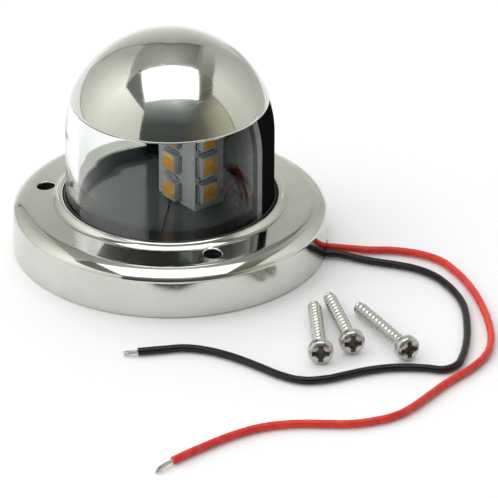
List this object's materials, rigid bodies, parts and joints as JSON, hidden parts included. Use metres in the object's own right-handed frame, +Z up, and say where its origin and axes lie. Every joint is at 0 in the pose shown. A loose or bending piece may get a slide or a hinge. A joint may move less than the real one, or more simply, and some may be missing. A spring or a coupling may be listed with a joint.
{
  "type": "navigation light",
  "caption": "Round stainless masthead navigation light with a polished base and dome, clear window, black rear screen, LED post inside, flying leads and loose fixing screws.",
  "frame": {"origin": "centre of the base's underside, on the axis of the light", "axes": "+Z up along the light's axis, -Y ahead, the way the middle of the window faces, +X to port"},
  "size_m": [0.1374, 0.1141, 0.0555],
  "materials": {
    "polished_steel": "mirror-polished stainless steel",
    "clear_lens": "clear moulded plastic",
    "black_gloss": "glossy black plastic",
    "black_plastic": "matt black moulded plastic",
    "black_rubber": "black seal rubber",
    "white_plastic": "white moulded plastic",
    "board_white": "white solder mask",
    "led_case": "white LED package",
    "led_gel": "orange-yellow phosphor gel",
    "chip_black": "black chip resistor",
    "red_pvc": "red PVC insulation",
    "black_pvc": "black PVC insulation",
    "tinned_wire": "bare tinned strands",
    "screw_steel": "bright stainless steel"
  },
  "bodies": {
    "light": {"base_flange": "polished_steel", "base_plate": "black_plastic", "lens_gasket": "black_rubber", "clear_window": "clear_lens", "rear_screen": "black_gloss", "dome_cap": "polished_steel", "lamp_holder": "black_gloss", "holder_screws": "screw_steel", "led_post": "white_plastic", "front_board": "board_white", "port_board": "board_white", "starboard_board": "board_white", "front_leds": "led_case", "port_leds": "led_case", "starboard_leds": "led_case", "led_gel": "led_gel", "chip_resistors": "chip_black", "lead_grommet": "black_rubber", "red_lead_inner": "red_pvc", "black_lead_inner": "black_pvc", "red_lead": "red_pvc", "black_lead": "black_pvc", "red_strands": "tinned_wire", "black_strands": "tinned_wire"},
    "screw_1": {"mounting_screw_1": "screw_steel"},
    "screw_2": {"mounting_screw_2": "screw_steel"},
    "screw_3": {"mounting_screw_3": "screw_steel"}
  },
  "joints": [
    {"name": "screw_1_lift", "type": "slide", "parent": "light", "child": "screw_1", "axis": [0, 0, 1], "range_m": [0, 0.05]},
    {"name": "screw_2_lift", "type": "slide", "parent": "light", "child": "screw_2", "axis": [0, 0, 1], "range_m": [0, 0.05]},
    {"name": "screw_3_lift", "type": "slide", "parent": "light", "child": "screw_3", "axis": [0, 0, 1], "range_m": [0, 0.05]}
  ]
}
